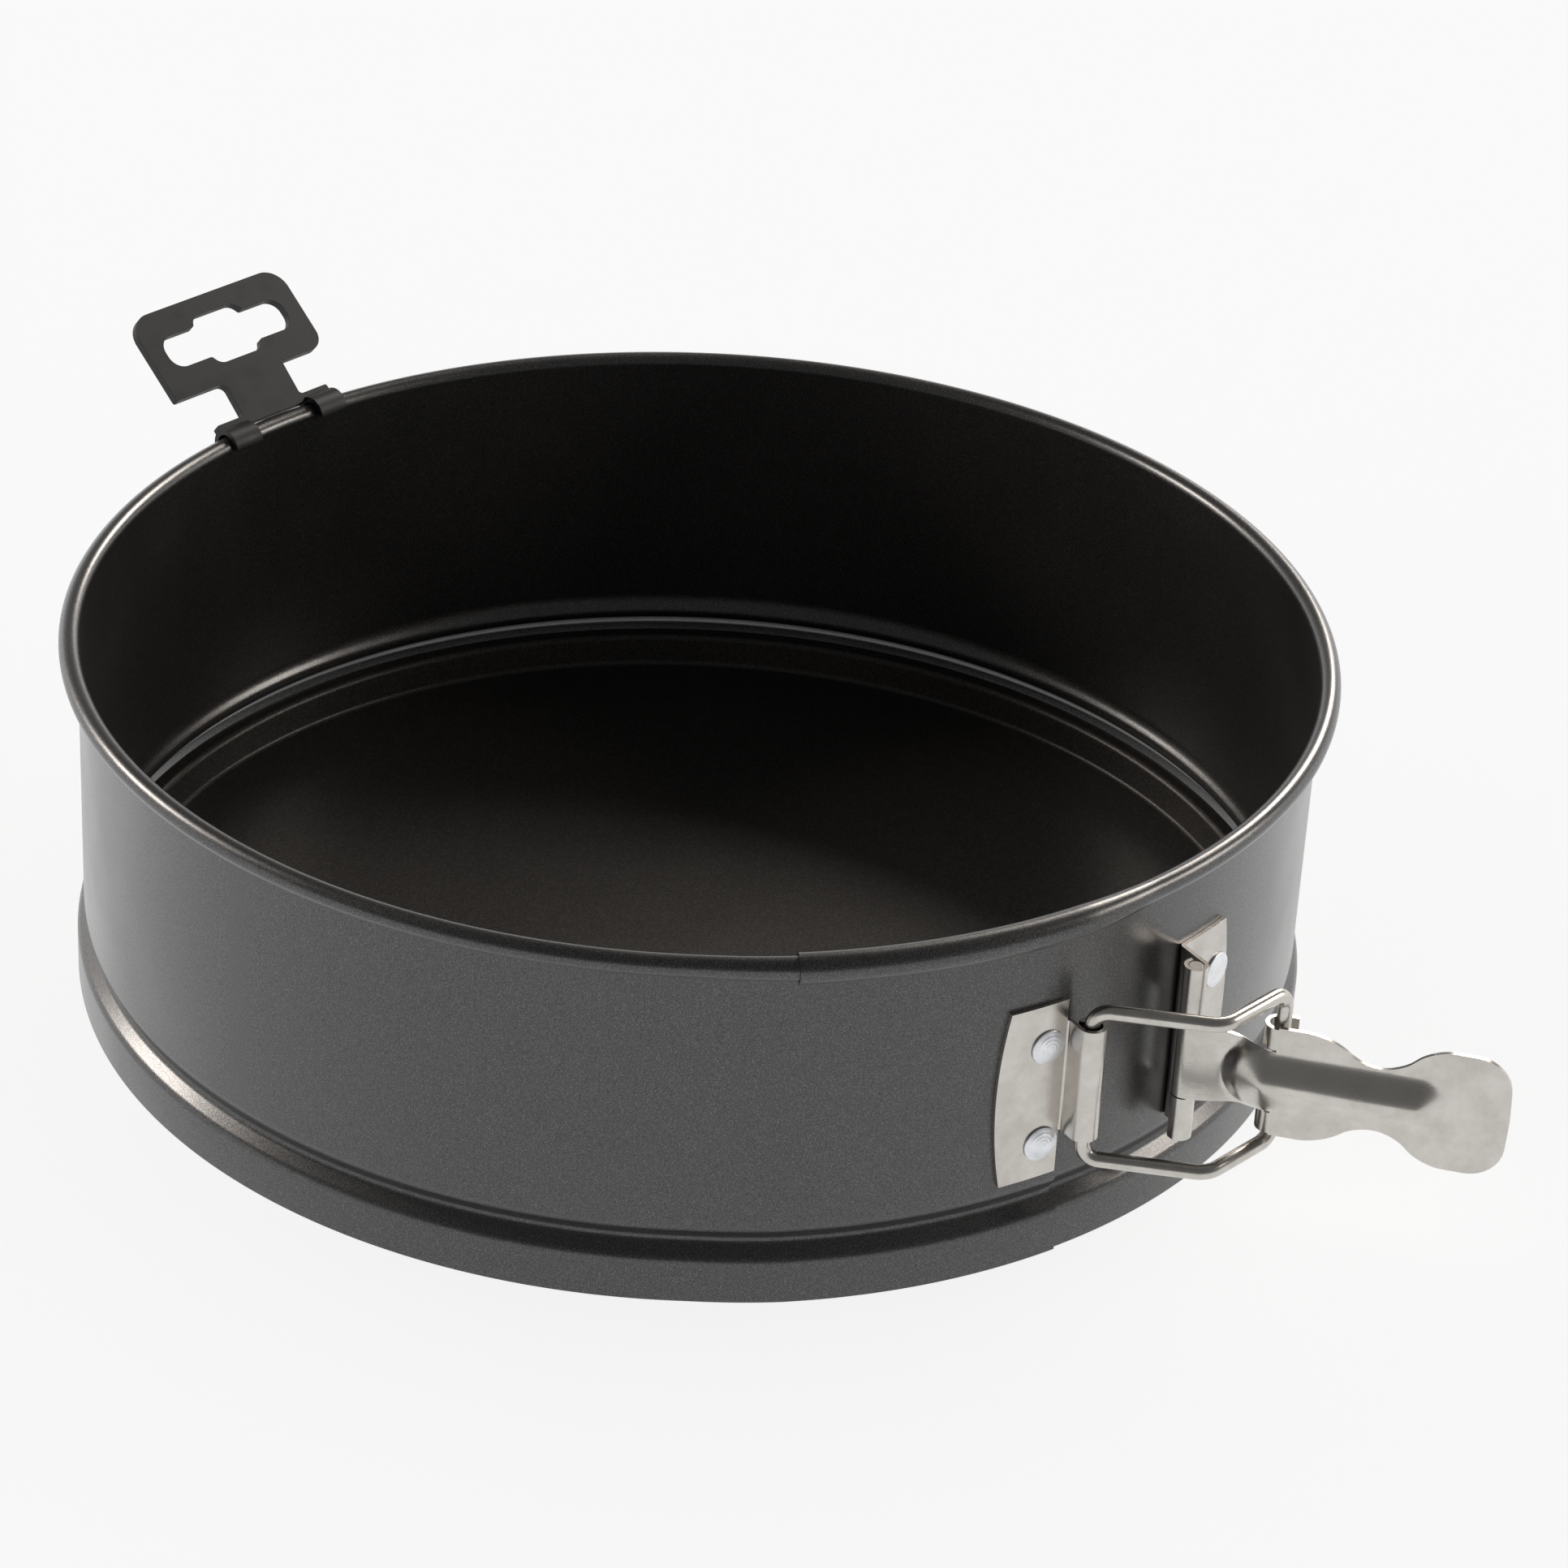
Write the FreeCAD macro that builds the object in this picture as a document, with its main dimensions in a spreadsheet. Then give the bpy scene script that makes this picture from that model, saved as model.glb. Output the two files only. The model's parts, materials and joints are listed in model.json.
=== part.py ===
import FreeCAD, Part
import math
import os
from FreeCAD import Placement, Rotation, Vector

# Springform cake pan, 24 cm. Millimetres, +Z up, origin at the centre of the base's underside.
# The hang tag sits at +Y and the latch near -Y.

doc = FreeCAD.newDocument("springform_pan")
sheet = doc.addObject("Spreadsheet::Sheet", "dims")

DIMS = {
    # rolled side band
    "bandGauge": 0.5,
    "wallMid": 119.75,
    "curlMid": 1.8,
    "curlHeight": 71.3,
    "lapStep": 0.6,
    "beadDepth": 2.1,
    "beadHeight": 11.7,
    "skirtStep": 1.4,
    "skirtTop": 8.9,
    "wallFoot": 14.6,
    "mainSweep": 318.5,
    "mainStart": -95.0,
    "lapSweep": 25.7,
    "innerEnd": -128.5,
    "lapEnd": -102.8,
    "jogSweep": 8.0,
    # base
    "baseGauge": 0.6,
    "floorRadius": 115.7,
    "dishTop": 6.7,
    "dishRadius": 116.9,
    "flangeRadius": 119.95,
    # latch
    "latchGauge": 0.8,
    "plateLow": 17.5,
    "plateHeight": 37.0,
    "plateTop": 54.5,
    "barrelLow": 26.5,
    "barrelTop": 50.0,
    "barrelMid": 2.35,
    "pinRadius": 1.4,
    "pinLength": 36.8,
    "eyeMid": 1.86,
    "leverLow": 26.9,
    "leverTop": 43.6,
    "leverCentre": 35.25,
    "leverTurn": -61.0,
    "leverLength": 59.6,
    "leverHalf": 12.4,
    "wireRadius": 1.45,
    "rivetHead": 3.5,
    "rivetShank": 1.6,
    "rivetHole": 1.65,
    # hang tag
    "tagThick": 1.8,
    "tagTilt": 50.0,
    "clipWidth": 7.0,
    "clipOffset": 11.75,
}
for row, (name, value) in enumerate(DIMS.items(), start=1):
    sheet.set("A%d" % row, name)
    sheet.set("B%d" % row, str(value))
    sheet.setAlias("B%d" % row, name)
doc.recompute()


def dim(name):
    return DIMS[name]


UP = Vector(0, 0, 1)
STAND = Rotation(Vector(1, 0, 0), 90)  # a sketch's x and y become X and Z


def polar(radius, degrees):
    angle = math.radians(degrees)
    return Vector(radius * math.cos(angle), radius * math.sin(angle), 0)


def turned(v, degrees):
    return Rotation(UP, degrees).multVec(v)


# ---- sheet-metal paths: tangent lines and arcs, thickened to both sides ----


def line(p, q):
    return {"kind": "line", "p": p, "q": q}


def arc(centre, radius, start, end):
    return {"kind": "arc", "c": centre, "r": radius, "a": start, "b": end}


def rounded(points, radii):
    """Lines through the points, with each inner corner rounded to its radius."""
    path = []
    here = points[0]
    for i in range(1, len(points) - 1):
        before = (points[i] - points[i - 1]).normalize()
        after = (points[i + 1] - points[i]).normalize()
        cross = before.x * after.y - before.y * after.x
        turn = math.atan2(cross, before.dot(after))
        radius = radii[i - 1]
        reach = radius * math.tan(abs(turn) / 2)
        start = points[i] - before * reach
        side = 1 if turn > 0 else -1
        normal = Vector(-before.y, before.x, 0) * side
        centre = start + normal * radius
        first = math.degrees(math.atan2(start.y - centre.y, start.x - centre.x))
        path.append(line(here, start))
        path.append(arc(centre, radius, first, first + math.degrees(turn)))
        here = points[i] + after * reach
    path.append(line(here, points[-1]))
    return path


def ends(step, shift):
    """The step moved sideways by shift, positive to its left, as (geometry, start, end)."""
    if step["kind"] == "line":
        along = (step["q"] - step["p"]).normalize()
        normal = Vector(-along.y, along.x, 0) * shift
        p, q = step["p"] + normal, step["q"] + normal
        return Part.LineSegment(p, q), p, q
    left = step["b"] > step["a"]
    radius = step["r"] - shift if left else step["r"] + shift
    p, q = step["c"] + polar(radius, step["a"]), step["c"] + polar(radius, step["b"])
    low, high = sorted((step["a"], step["b"]))
    circle = Part.Circle(step["c"], UP, radius)
    piece = Part.ArcOfCircle(circle, math.radians(low), math.radians(high))
    return piece, p, q


def thick_outline(path, gauge):
    left = [ends(step, gauge / 2) for step in path]
    right = [ends(step, -gauge / 2) for step in path]
    geometry = [g for g, _, _ in left] + [g for g, _, _ in right]
    geometry.append(Part.LineSegment(left[0][1], right[0][1]))
    geometry.append(Part.LineSegment(left[-1][2], right[-1][2]))
    return geometry


def closed_outline(points, radii):
    """A closed polygon with rounded corners; radius 0 leaves a corner sharp."""
    geometry = []
    count = len(points)
    marks = []
    for i, point in enumerate(points):
        before = (point - points[i - 1]).normalize()
        after = (points[(i + 1) % count] - point).normalize()
        cross = before.x * after.y - before.y * after.x
        turn = math.atan2(cross, before.dot(after))
        radius = radii[i]
        reach = radius * math.tan(abs(turn) / 2)
        start, end = point - before * reach, point + after * reach
        if radius:
            side = 1 if turn > 0 else -1
            centre = start + Vector(-before.y, before.x, 0) * side * radius
            first = math.degrees(math.atan2(start.y - centre.y, start.x - centre.x))
            step = arc(centre, radius, first, first + math.degrees(turn))
            geometry.append(ends(step, 0)[0])
        marks.append((start, end))
    for i in range(count):
        p, q = marks[i][1], marks[(i + 1) % count][0]
        if (q - p).Length > 1e-6:
            geometry.append(Part.LineSegment(p, q))
    return geometry


def free_sketch(name, geometry, placement):
    sketch = doc.addObject("Sketcher::SketchObject", name)
    sketch.addGeometry(geometry, False)
    sketch.Placement = placement
    return sketch


def plane_of(body, role):
    return next(f for f in body.Origin.OriginFeatures if f.Role == role)


def body_sketch(body, name, role, geometry, offset=None):
    sketch = body.newObject("Sketcher::SketchObject", name)
    sketch.AttachmentSupport = [(plane_of(body, role), "")]
    sketch.MapMode = "FlatFace"
    if offset:
        sketch.AttachmentOffset = offset
    sketch.addGeometry(geometry, False)
    return sketch


def new_body(name):
    body = doc.addObject("PartDesign::Body", name)
    body.Label = name
    return body


def pad(body, name, sketch, length, midplane=False):
    feature = body.newObject("PartDesign::Pad", name)
    feature.Profile = sketch
    feature.setExpression("Length", length)
    feature.Midplane = midplane
    body.Tip = feature
    return feature


def pocket(body, name, sketch):
    """Cuts the sketch right through the body, both ways."""
    feature = body.newObject("PartDesign::Pocket", name)
    feature.Profile = sketch
    feature.Type = "ThroughAll"
    feature.Midplane = True
    body.Tip = feature
    return feature


# ---- side band: one rolled strip whose left end laps outside its right end ----

CURL_OPEN = -130.0


def band_profile(wall, curl, curl_end):
    """Cross-section of the strip from the foot of its skirt to the end of its rim curl."""
    step = dim("skirtStep")
    foot = 0.3
    lip = 0.55
    path = rounded(
        [
            Vector(wall + step - lip, foot, 0),
            Vector(wall + step, foot, 0),
            Vector(wall + step, dim("skirtTop"), 0),
            Vector(wall - dim("beadDepth"), dim("beadHeight"), 0),
            Vector(wall, dim("wallFoot"), 0),
            Vector(wall, dim("curlHeight"), 0),
        ],
        [0.45, 1.0, 1.0, 1.2],
    )
    centre = Vector(wall + curl, dim("curlHeight"), 0)
    path.append(arc(centre, curl, 180.0, curl_end))
    return thick_outline(path, dim("bandGauge"))


def band_section(name, wall, curl, curl_end, degrees):
    place = Placement(Vector(), Rotation(UP, degrees) * STAND)
    return free_sketch(name, band_profile(wall, curl, curl_end), place)


def swept(name, section, angle):
    feature = doc.addObject("Part::Revolution", name)
    feature.Source = section
    feature.Axis = UP
    feature.Base = Vector()
    feature.Solid = True
    feature.setExpression("Angle", angle)
    return feature


def lofted(name, sections):
    feature = doc.addObject("Part::Loft", name)
    feature.Sections = sections
    feature.Solid = True
    feature.Ruled = True
    return feature


def blended(a, b, share):
    return a + (b - a) * share


wall = dim("wallMid")
curl = dim("curlMid")
lap = dim("lapStep")
lap_wall = wall + lap
lap_centre = curl + 0.8  # both layers' curls share this centre, measured from the wall
LAP_CURL_END = -122.0
INNER_CURL_END = -105.0
JOG_STEPS = 4

main_section = band_section("band_main_section", wall, curl, CURL_OPEN, dim("mainStart"))
band_pieces = [swept("band_main", main_section, "dims.mainSweep")]

# the left end steps out over the inner layer
jog_from = dim("mainStart") + dim("mainSweep")
sections = []
for i in range(JOG_STEPS + 1):
    share = i / JOG_STEPS
    sections.append(
        band_section(
            "band_jog_%d" % i,
            blended(wall, lap_wall, share),
            blended(curl, lap_centre - lap, share),
            blended(CURL_OPEN, LAP_CURL_END, share),
            jog_from + dim("jogSweep") * share,
        )
    )
band_pieces.append(lofted("band_jog", sections))
lap_from = jog_from + dim("jogSweep")
lap_section = band_section("band_lap_section", lap_wall, lap_centre - lap, LAP_CURL_END, lap_from)
band_pieces.append(swept("band_lap", lap_section, "dims.lapSweep"))

# the right end's curl widens to wrap the lapped end's curl
sections = []
for i in range(JOG_STEPS + 1):
    share = i / JOG_STEPS
    sections.append(
        band_section(
            "band_widen_%d" % i,
            wall,
            blended(lap_centre, curl, share),
            blended(INNER_CURL_END, CURL_OPEN, share),
            blended(dim("lapEnd"), dim("mainStart"), share),
        )
    )
band_pieces.append(lofted("band_widen", sections))
inner_section = band_section("band_inner_section", wall, lap_centre, INNER_CURL_END, dim("innerEnd"))
band_pieces.append(swept("band_inner", inner_section, "dims.lapSweep"))

band_whole = doc.addObject("Part::MultiFuse", "band_whole")
band_whole.Shapes = band_pieces

LEFT_CENTRE = -106.1
RIGHT_CENTRE = -85.9
LEFT_RIVETS = [("left_rivet_upper", -105.15, 45.6), ("left_rivet_lower", -105.15, 24.8)]
RIGHT_RIVETS = [("right_rivet_upper", -83.9, 44.2), ("right_rivet_lower", -83.9, 24.8)]


def radial(degrees):
    """Turns a part built facing -Y so that it faces the given angle."""
    return Rotation(UP, degrees + 90)


# left rivets hold the lap alone; right rivets go through the single wall
drills = []
for name, angle, height in LEFT_RIVETS + RIGHT_RIVETS:
    left = name.startswith("left")
    drill = doc.addObject("Part::Cylinder", "drill_" + name)
    drill.setExpression("Radius", "dims.rivetHole")
    drill.Height = 4
    inner = 120.05 if left else 118.0
    turn = radial(angle)
    start = turn.multVec(Vector(0, -inner, height))
    drill.Placement = Placement(start, turn * Rotation(Vector(1, 0, 0), 90))
    drills.append(drill)
drill_set = doc.addObject("Part::MultiFuse", "drill_set")
drill_set.Shapes = drills
side_band = doc.addObject("Part::Cut", "side_band")
side_band.Base = band_whole
side_band.Tool = drill_set
side_band.Label = "side_band"

# ---- base: shallow pressed dish whose flange is held under the band's bead ----

base = new_body("base_plate")
gauge = dim("baseGauge")
base_path = rounded(
    [
        Vector(0, gauge / 2, 0),
        Vector(dim("floorRadius"), gauge / 2, 0),
        Vector(dim("dishRadius"), dim("dishTop"), 0),
        Vector(dim("flangeRadius"), dim("dishTop"), 0),
    ],
    [1.0, 0.6],
)
base_sketch = body_sketch(base, "base_section", "XZ_Plane", thick_outline(base_path, gauge))
base_turn = base.newObject("PartDesign::Revolution", "base_turn")
base_turn.Profile = base_sketch
base_turn.ReferenceAxis = (base_sketch, ["V_Axis"])
base_turn.Angle = 360
base.Tip = base_turn

# ---- left bracket: riveted plate, folded out and rolled into a barrel for the bail ----

latch_gauge = dim("latchGauge")
lap_face = lap_wall + dim("bandGauge") / 2
LEFT_MID = lap_face + 0.05 + latch_gauge / 2
LEG_X = 6.7
FOLD = 0.9
BARREL = Vector(LEG_X + dim("barrelMid"), -124.67, 0)
fold_x = LEG_X - FOLD
fold_centre = Vector(fold_x, -math.sqrt((LEFT_MID + FOLD) ** 2 - fold_x**2), 0)
fold_angle = math.degrees(math.atan2(fold_centre.y, fold_centre.x))
left_path = [
    arc(Vector(), LEFT_MID, -93.9, fold_angle),
    arc(fold_centre, FOLD, fold_angle + 180, 0),
    line(Vector(LEG_X, fold_centre.y, 0), Vector(LEG_X, BARREL.y, 0)),
    arc(BARREL, dim("barrelMid"), 180, 480),
]
left_bracket = new_body("left_bracket")
lift = Placement(Vector(0, 0, dim("plateLow")), Rotation())
strip = body_sketch(left_bracket, "left_strip", "XY_Plane", thick_outline(left_path, latch_gauge), lift)
pad(left_bracket, "left_strip_pad", strip, "dims.plateHeight")


def side_bulge(x_mid, x_end, x_far):
    """The waste beyond a plate's bowed outer edge, drawn in x and z."""
    low, top = dim("plateLow"), dim("plateTop")
    middle = (low + top) / 2
    bow = Part.Arc(Vector(x_end, low - 1, 0), Vector(x_mid, middle, 0), Vector(x_end, top + 1, 0))
    return [
        bow,
        Part.LineSegment(Vector(x_end, top + 1, 0), Vector(x_far, top + 1, 0)),
        Part.LineSegment(Vector(x_far, top + 1, 0), Vector(x_far, low - 1, 0)),
        Part.LineSegment(Vector(x_far, low - 1, 0), Vector(x_end, low - 1, 0)),
    ]


def box_lines(x0, z0, x1, z1):
    corners = [Vector(x0, z0, 0), Vector(x1, z0, 0), Vector(x1, z1, 0), Vector(x0, z1, 0)]
    return [Part.LineSegment(corners[i], corners[(i + 1) % 4]) for i in range(4)]


waste = body_sketch(left_bracket, "left_bow", "XZ_Plane", side_bulge(-8.2, -6.0, -12))
pocket(left_bracket, "left_bow_cut", waste)
FREE_EDGE = 5.9
cuts = box_lines(FREE_EDGE, dim("barrelTop"), 14, dim("plateTop") + 1)
cuts += box_lines(FREE_EDGE, dim("plateLow") - 1, 14, dim("barrelLow"))
waste = body_sketch(left_bracket, "left_trim", "XZ_Plane", cuts)
pocket(left_bracket, "left_trim_cut", waste)


def rivet_holes(body, name, rivets, centre, mid):
    geometry = []
    for _, angle, height in rivets:
        x = mid * math.sin(math.radians(angle - centre))
        geometry.append(Part.Circle(Vector(x, height, 0), UP, dim("rivetHole")))
    waste = body_sketch(body, name, "XZ_Plane", geometry)
    pocket(body, name + "_cut", waste)


rivet_holes(left_bracket, "left_holes", LEFT_RIVETS, LEFT_CENTRE, LEFT_MID)
left_bracket.Placement = Placement(Vector(), radial(LEFT_CENTRE))

# ---- right bracket: riveted plate whose folded edge is rolled into two knuckles ----

RIGHT_MID = dim("wallMid") + dim("bandGauge") / 2 + 0.05 + latch_gauge / 2
PIN_ANGLE = -90.9
PIN_RADIUS = 126.4
pin_at = polar(PIN_RADIUS, PIN_ANGLE)
eye = turned(pin_at, -(RIGHT_CENTRE + 90))
eye_mid = dim("eyeMid")
SHARP = 0.62
sharp_centre = polar(RIGHT_MID + SHARP, -93.2)
apart = sharp_centre - eye
lean = math.degrees(math.acos((eye_mid + SHARP) / apart.Length))
leg_normal = turned(apart, lean).normalize()
leg_along = Vector(leg_normal.y, -leg_normal.x, 0)
if leg_along.dot(eye - sharp_centre) < 0:
    leg_normal = turned(apart, -lean).normalize()
    leg_along = Vector(leg_normal.y, -leg_normal.x, 0)
normal_angle = math.degrees(math.atan2(leg_normal.y, leg_normal.x))
leg_start = sharp_centre - leg_normal * SHARP
leg_end = eye + leg_normal * eye_mid
sharp_from = -93.2 + 180
sharp_to = normal_angle + 180
while sharp_to < sharp_from:
    sharp_to += 360
right_path = [
    arc(Vector(), RIGHT_MID, -86.0, -93.2),
    arc(sharp_centre, SHARP, sharp_from, sharp_to),
    line(leg_start, leg_end),
    arc(eye, eye_mid, normal_angle, normal_angle - 285),
]
right_bracket = new_body("right_bracket")
strip = body_sketch(right_bracket, "right_strip", "XY_Plane", thick_outline(right_path, latch_gauge), lift)
pad(right_bracket, "right_strip_pad", strip, "dims.plateHeight")
waste = body_sketch(right_bracket, "right_bow", "XZ_Plane", side_bulge(8.2, 6.0, 12))
pocket(right_bracket, "right_bow_cut", waste)
GAP = 0.3
cuts = box_lines(-15, dim("leverLow") - GAP, -7.9, dim("leverTop") + GAP)
waste = body_sketch(right_bracket, "knuckle_gap", "XZ_Plane", cuts)
pocket(right_bracket, "knuckle_gap_cut", waste)
rivet_holes(right_bracket, "right_holes", RIGHT_RIVETS, RIGHT_CENTRE, RIGHT_MID)
right_bracket.Placement = Placement(Vector(), radial(RIGHT_CENTRE))

# ---- rivets ----


def rivet(name, angle, height, seat, tail, tail_head):
    """A domed rivet facing -Y: its head sits at the radius seat and its shank ends at tail."""
    head = dim("rivetHead")
    shank = dim("rivetShank")
    dome = 1.2
    rim = 0.35
    body = new_body(name)
    if tail_head:
        inner = [Vector(0, tail - 0.5, 0), Vector(2.75, tail - 0.4, 0), Vector(2.75, tail, 0)]
    else:
        inner = [Vector(0, tail, 0)]
    points = inner + [
        Vector(shank, tail, 0),
        Vector(shank, seat, 0),
        Vector(head, seat, 0),
        Vector(head, seat + rim, 0),
    ]
    geometry = [Part.LineSegment(points[i], points[i + 1]) for i in range(len(points) - 1)]
    apex = Vector(0, seat + dome, 0)
    rise = dome - rim
    ball = (head * head + rise * rise) / (2 * rise)
    middle = head / 2
    crown = math.sqrt(ball * ball - middle * middle) - ball
    geometry.append(Part.Arc(points[-1], apex + Vector(middle, crown, 0), apex))
    geometry.append(Part.LineSegment(apex, points[0]))
    sketch = body_sketch(body, name + "_section", "XY_Plane", geometry)
    turn = body.newObject("PartDesign::Revolution", name + "_turn")
    turn.Profile = sketch
    turn.ReferenceAxis = (sketch, ["V_Axis"])
    turn.Angle = 360
    body.Tip = turn
    body.Placement = Placement(Vector(0, 0, height), Rotation(UP, angle - 90))
    return body


SEAT_GAP = 0.02
left_seat = LEFT_MID + latch_gauge / 2 + SEAT_GAP
right_seat = RIGHT_MID + latch_gauge / 2 + SEAT_GAP
left_tail = lap_wall - dim("bandGauge") / 2 + 0.03
right_tail = dim("wallMid") - dim("bandGauge") / 2 - 0.04
for name, angle, height in LEFT_RIVETS:
    rivet(name, angle, height, left_seat, left_tail, False)
for name, angle, height in RIGHT_RIVETS:
    rivet(name, angle, height, right_seat, right_tail, True)

# ---- hinge pin ----

pin = doc.addObject("Part::Cylinder", "hinge_pin")
pin.setExpression("Radius", "dims.pinRadius")
pin.setExpression("Height", "dims.pinLength")
pin.Placement = Placement(pin_at + Vector(0, 0, dim("plateLow") + 0.1), Rotation())
pin.Label = "hinge_pin"

# ---- lever: rolled root, ribbed blade and two hooked ears; built along +X, front to -Y ----

HOOK = Vector(17.0, -1.6, 0)
HOOK_MID = 2.5
BLADE_Y = HOOK.y - HOOK_MID
ROOT_Y = -eye_mid
HOOK_ROOT = 16.55
lever_path = [arc(Vector(), eye_mid, 0, 270)]
lever_path += rounded(
    [
        Vector(0, ROOT_Y, 0),
        Vector(11.0, ROOT_Y, 0),
        Vector(16.0, BLADE_Y, 0),
        Vector(dim("leverLength"), BLADE_Y, 0),
    ],
    [2.5, 2.5],
)
flat = Placement(Vector(0, 0, -dim("leverHalf")), Rotation())
blade_sketch = free_sketch("lever_strip", thick_outline(lever_path, latch_gauge), flat)


def extruded(name, sketch, direction, length):
    feature = doc.addObject("Part::Extrusion", name)
    feature.Base = sketch
    feature.DirMode = "Custom"
    feature.Dir = direction
    feature.Solid = True
    if isinstance(length, str):
        feature.setExpression("LengthFwd", length)
    else:
        feature.LengthFwd = length
    return feature


blade_strip = extruded("lever_blade", blade_sketch, UP, "dims.leverHalf * 2")

half = dim("leverHalf")
root_half = (dim("leverTop") - dim("leverLow")) / 2
EAR = 11.5
WAIST = 6.6
TONGUE = 6.3
tip = dim("leverLength")
upper = [
    (Vector(-4, root_half, 0), 0),
    (Vector(3.0, root_half, 0), 2.0),
    (Vector(13.5, TONGUE, 0), 2.0),
    (Vector(HOOK_ROOT, TONGUE, 0), 0),
    (Vector(HOOK_ROOT, EAR, 0), 0.4),
    (Vector(26.5, EAR, 0), 4.5),
    (Vector(32.0, WAIST, 0), 3.5),
    (Vector(39.0, WAIST, 0), 3.5),
    (Vector(44.6, half, 0), 4.0),
    (Vector(tip, half, 0), 7.5),
]
lower = [(Vector(p.x, -p.y, 0), r) for p, r in reversed(upper)]
outline = upper + lower
outline_sketch = free_sketch(
    "lever_outline",
    closed_outline([p for p, _ in outline], [r for _, r in outline]),
    Placement(Vector(0, 8, 0), STAND),
)
outline_block = extruded("lever_outline_block", outline_sketch, Vector(0, -1, 0), 20)
blade = doc.addObject("Part::MultiCommon", "lever_trimmed")
blade.Shapes = [blade_strip, outline_block]

# stamped rib, raised to the front
RIB_OUT = 6.25
RIB_AXIS = BLADE_Y - latch_gauge / 2 - 2.4 + RIB_OUT
RIB_ENDS = (13.0, 42.5)


def capsule(name, radius):
    tube = doc.addObject("Part::Cylinder", name + "_tube")
    tube.Radius = radius
    tube.Height = RIB_ENDS[1] - RIB_ENDS[0]
    tube.Placement = Placement(Vector(RIB_ENDS[0], RIB_AXIS, 0), Rotation(Vector(0, 1, 0), 90))
    balls = []
    for i, x in enumerate(RIB_ENDS):
        ball = doc.addObject("Part::Sphere", "%s_ball_%d" % (name, i))
        ball.Radius = radius
        ball.Placement = Placement(Vector(x, RIB_AXIS, 0), Rotation())
        balls.append(ball)
    whole = doc.addObject("Part::MultiFuse", name)
    whole.Shapes = [tube] + balls
    return whole


rib_solid = capsule("rib_outside", RIB_OUT)
rib_hollow = capsule("rib_inside", RIB_OUT - latch_gauge)
front_points = [
    Vector(3, ROOT_Y, 0),
    Vector(11.2, ROOT_Y, 0),
    Vector(16.0, BLADE_Y, 0),
    Vector(56, BLADE_Y, 0),
    Vector(56, -14, 0),
    Vector(3, -14, 0),
]
front_sketch = free_sketch("rib_front", closed_outline(front_points, [0] * 6), flat)
front_block = extruded("rib_front_block", front_sketch, UP, "dims.leverHalf * 2")
rib_front = doc.addObject("Part::MultiCommon", "rib_raised")
rib_front.Shapes = [rib_solid, front_block]

# each ear is curled back round the bail's end wire and stays open towards the tip
hook_path = [
    line(Vector(19.5, BLADE_Y, 0), Vector(HOOK_ROOT, BLADE_Y, 0)),
    arc(Vector(HOOK_ROOT, HOOK.y, 0), HOOK_MID, 270, 90),
    line(Vector(HOOK_ROOT, HOOK.y + HOOK_MID, 0), Vector(19.6, HOOK.y + HOOK_MID, 0)),
]
EAR_LOW = 6.9
hooks = []
for name, low in (("upper", EAR_LOW), ("lower", -EAR)):
    hook_sketch = free_sketch(
        "hook_%s_strip" % name,
        thick_outline(hook_path, latch_gauge),
        Placement(Vector(0, 0, low), Rotation()),
    )
    hooks.append(extruded("hook_" + name, hook_sketch, UP, EAR - EAR_LOW))
lever_solid = doc.addObject("Part::MultiFuse", "lever_solid")
lever_solid.Shapes = [blade, rib_front] + hooks
lever = doc.addObject("Part::Cut", "lever")
lever.Base = lever_solid
lever.Tool = rib_hollow
lever.Label = "lever"
lever.Placement = Placement(
    pin_at + Vector(0, 0, dim("leverCentre")), Rotation(UP, dim("leverTurn"))
)

# ---- bail: one closed loop of wire from the barrel, bent round the knuckles, to the ears ----

barrel_at = turned(BARREL, LEFT_CENTRE + 90)
hook_at = pin_at + turned(HOOK, dim("leverTurn"))
KNEE = polar(142.1, -95.2)
ARM_LOW = 21.5
ARM_TOP = 53.2
knots = []
for spot, bend in ((barrel_at, 3.2), (KNEE, 5.0), (hook_at, 3.4)):
    knots.append((Vector(spot.x, spot.y, ARM_TOP), bend))
for spot, bend in ((hook_at, 3.4), (KNEE, 5.0), (barrel_at, 3.2)):
    knots.append((Vector(spot.x, spot.y, ARM_LOW), bend))


def wire_loop(knots, radius):
    """A closed round wire through the knots with bent corners."""
    pieces = []
    marks = []
    count = len(knots)
    for i, (spot, bend) in enumerate(knots):
        before = (spot - knots[i - 1][0]).normalize()
        after = (knots[(i + 1) % count][0] - spot).normalize()
        turn = math.acos(max(-1.0, min(1.0, before.dot(after))))
        reach = bend * math.tan(turn / 2)
        start, end = spot - before * reach, spot + after * reach
        axis = before.cross(after).normalize()
        centre = start + axis.cross(before) * bend
        disc = Part.Face(Part.Wire(Part.makeCircle(radius, start, before)))
        pieces.append(disc.revolve(centre, axis, math.degrees(turn)))
        marks.append((start, end))
    for i in range(count):
        p, q = marks[i][1], marks[(i + 1) % count][0]
        pieces.append(Part.makeCylinder(radius, (q - p).Length, p, q - p))
    return pieces[0].multiFuse(pieces[1:]).removeSplitter()


bail = doc.addObject("Part::Feature", "bail")
bail.Shape = wire_loop(knots, dim("wireRadius"))
bail.Label = "bail"

# ---- hang tag: slotted plate with two clips round the rim curl; built upright at the curl ----

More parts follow.
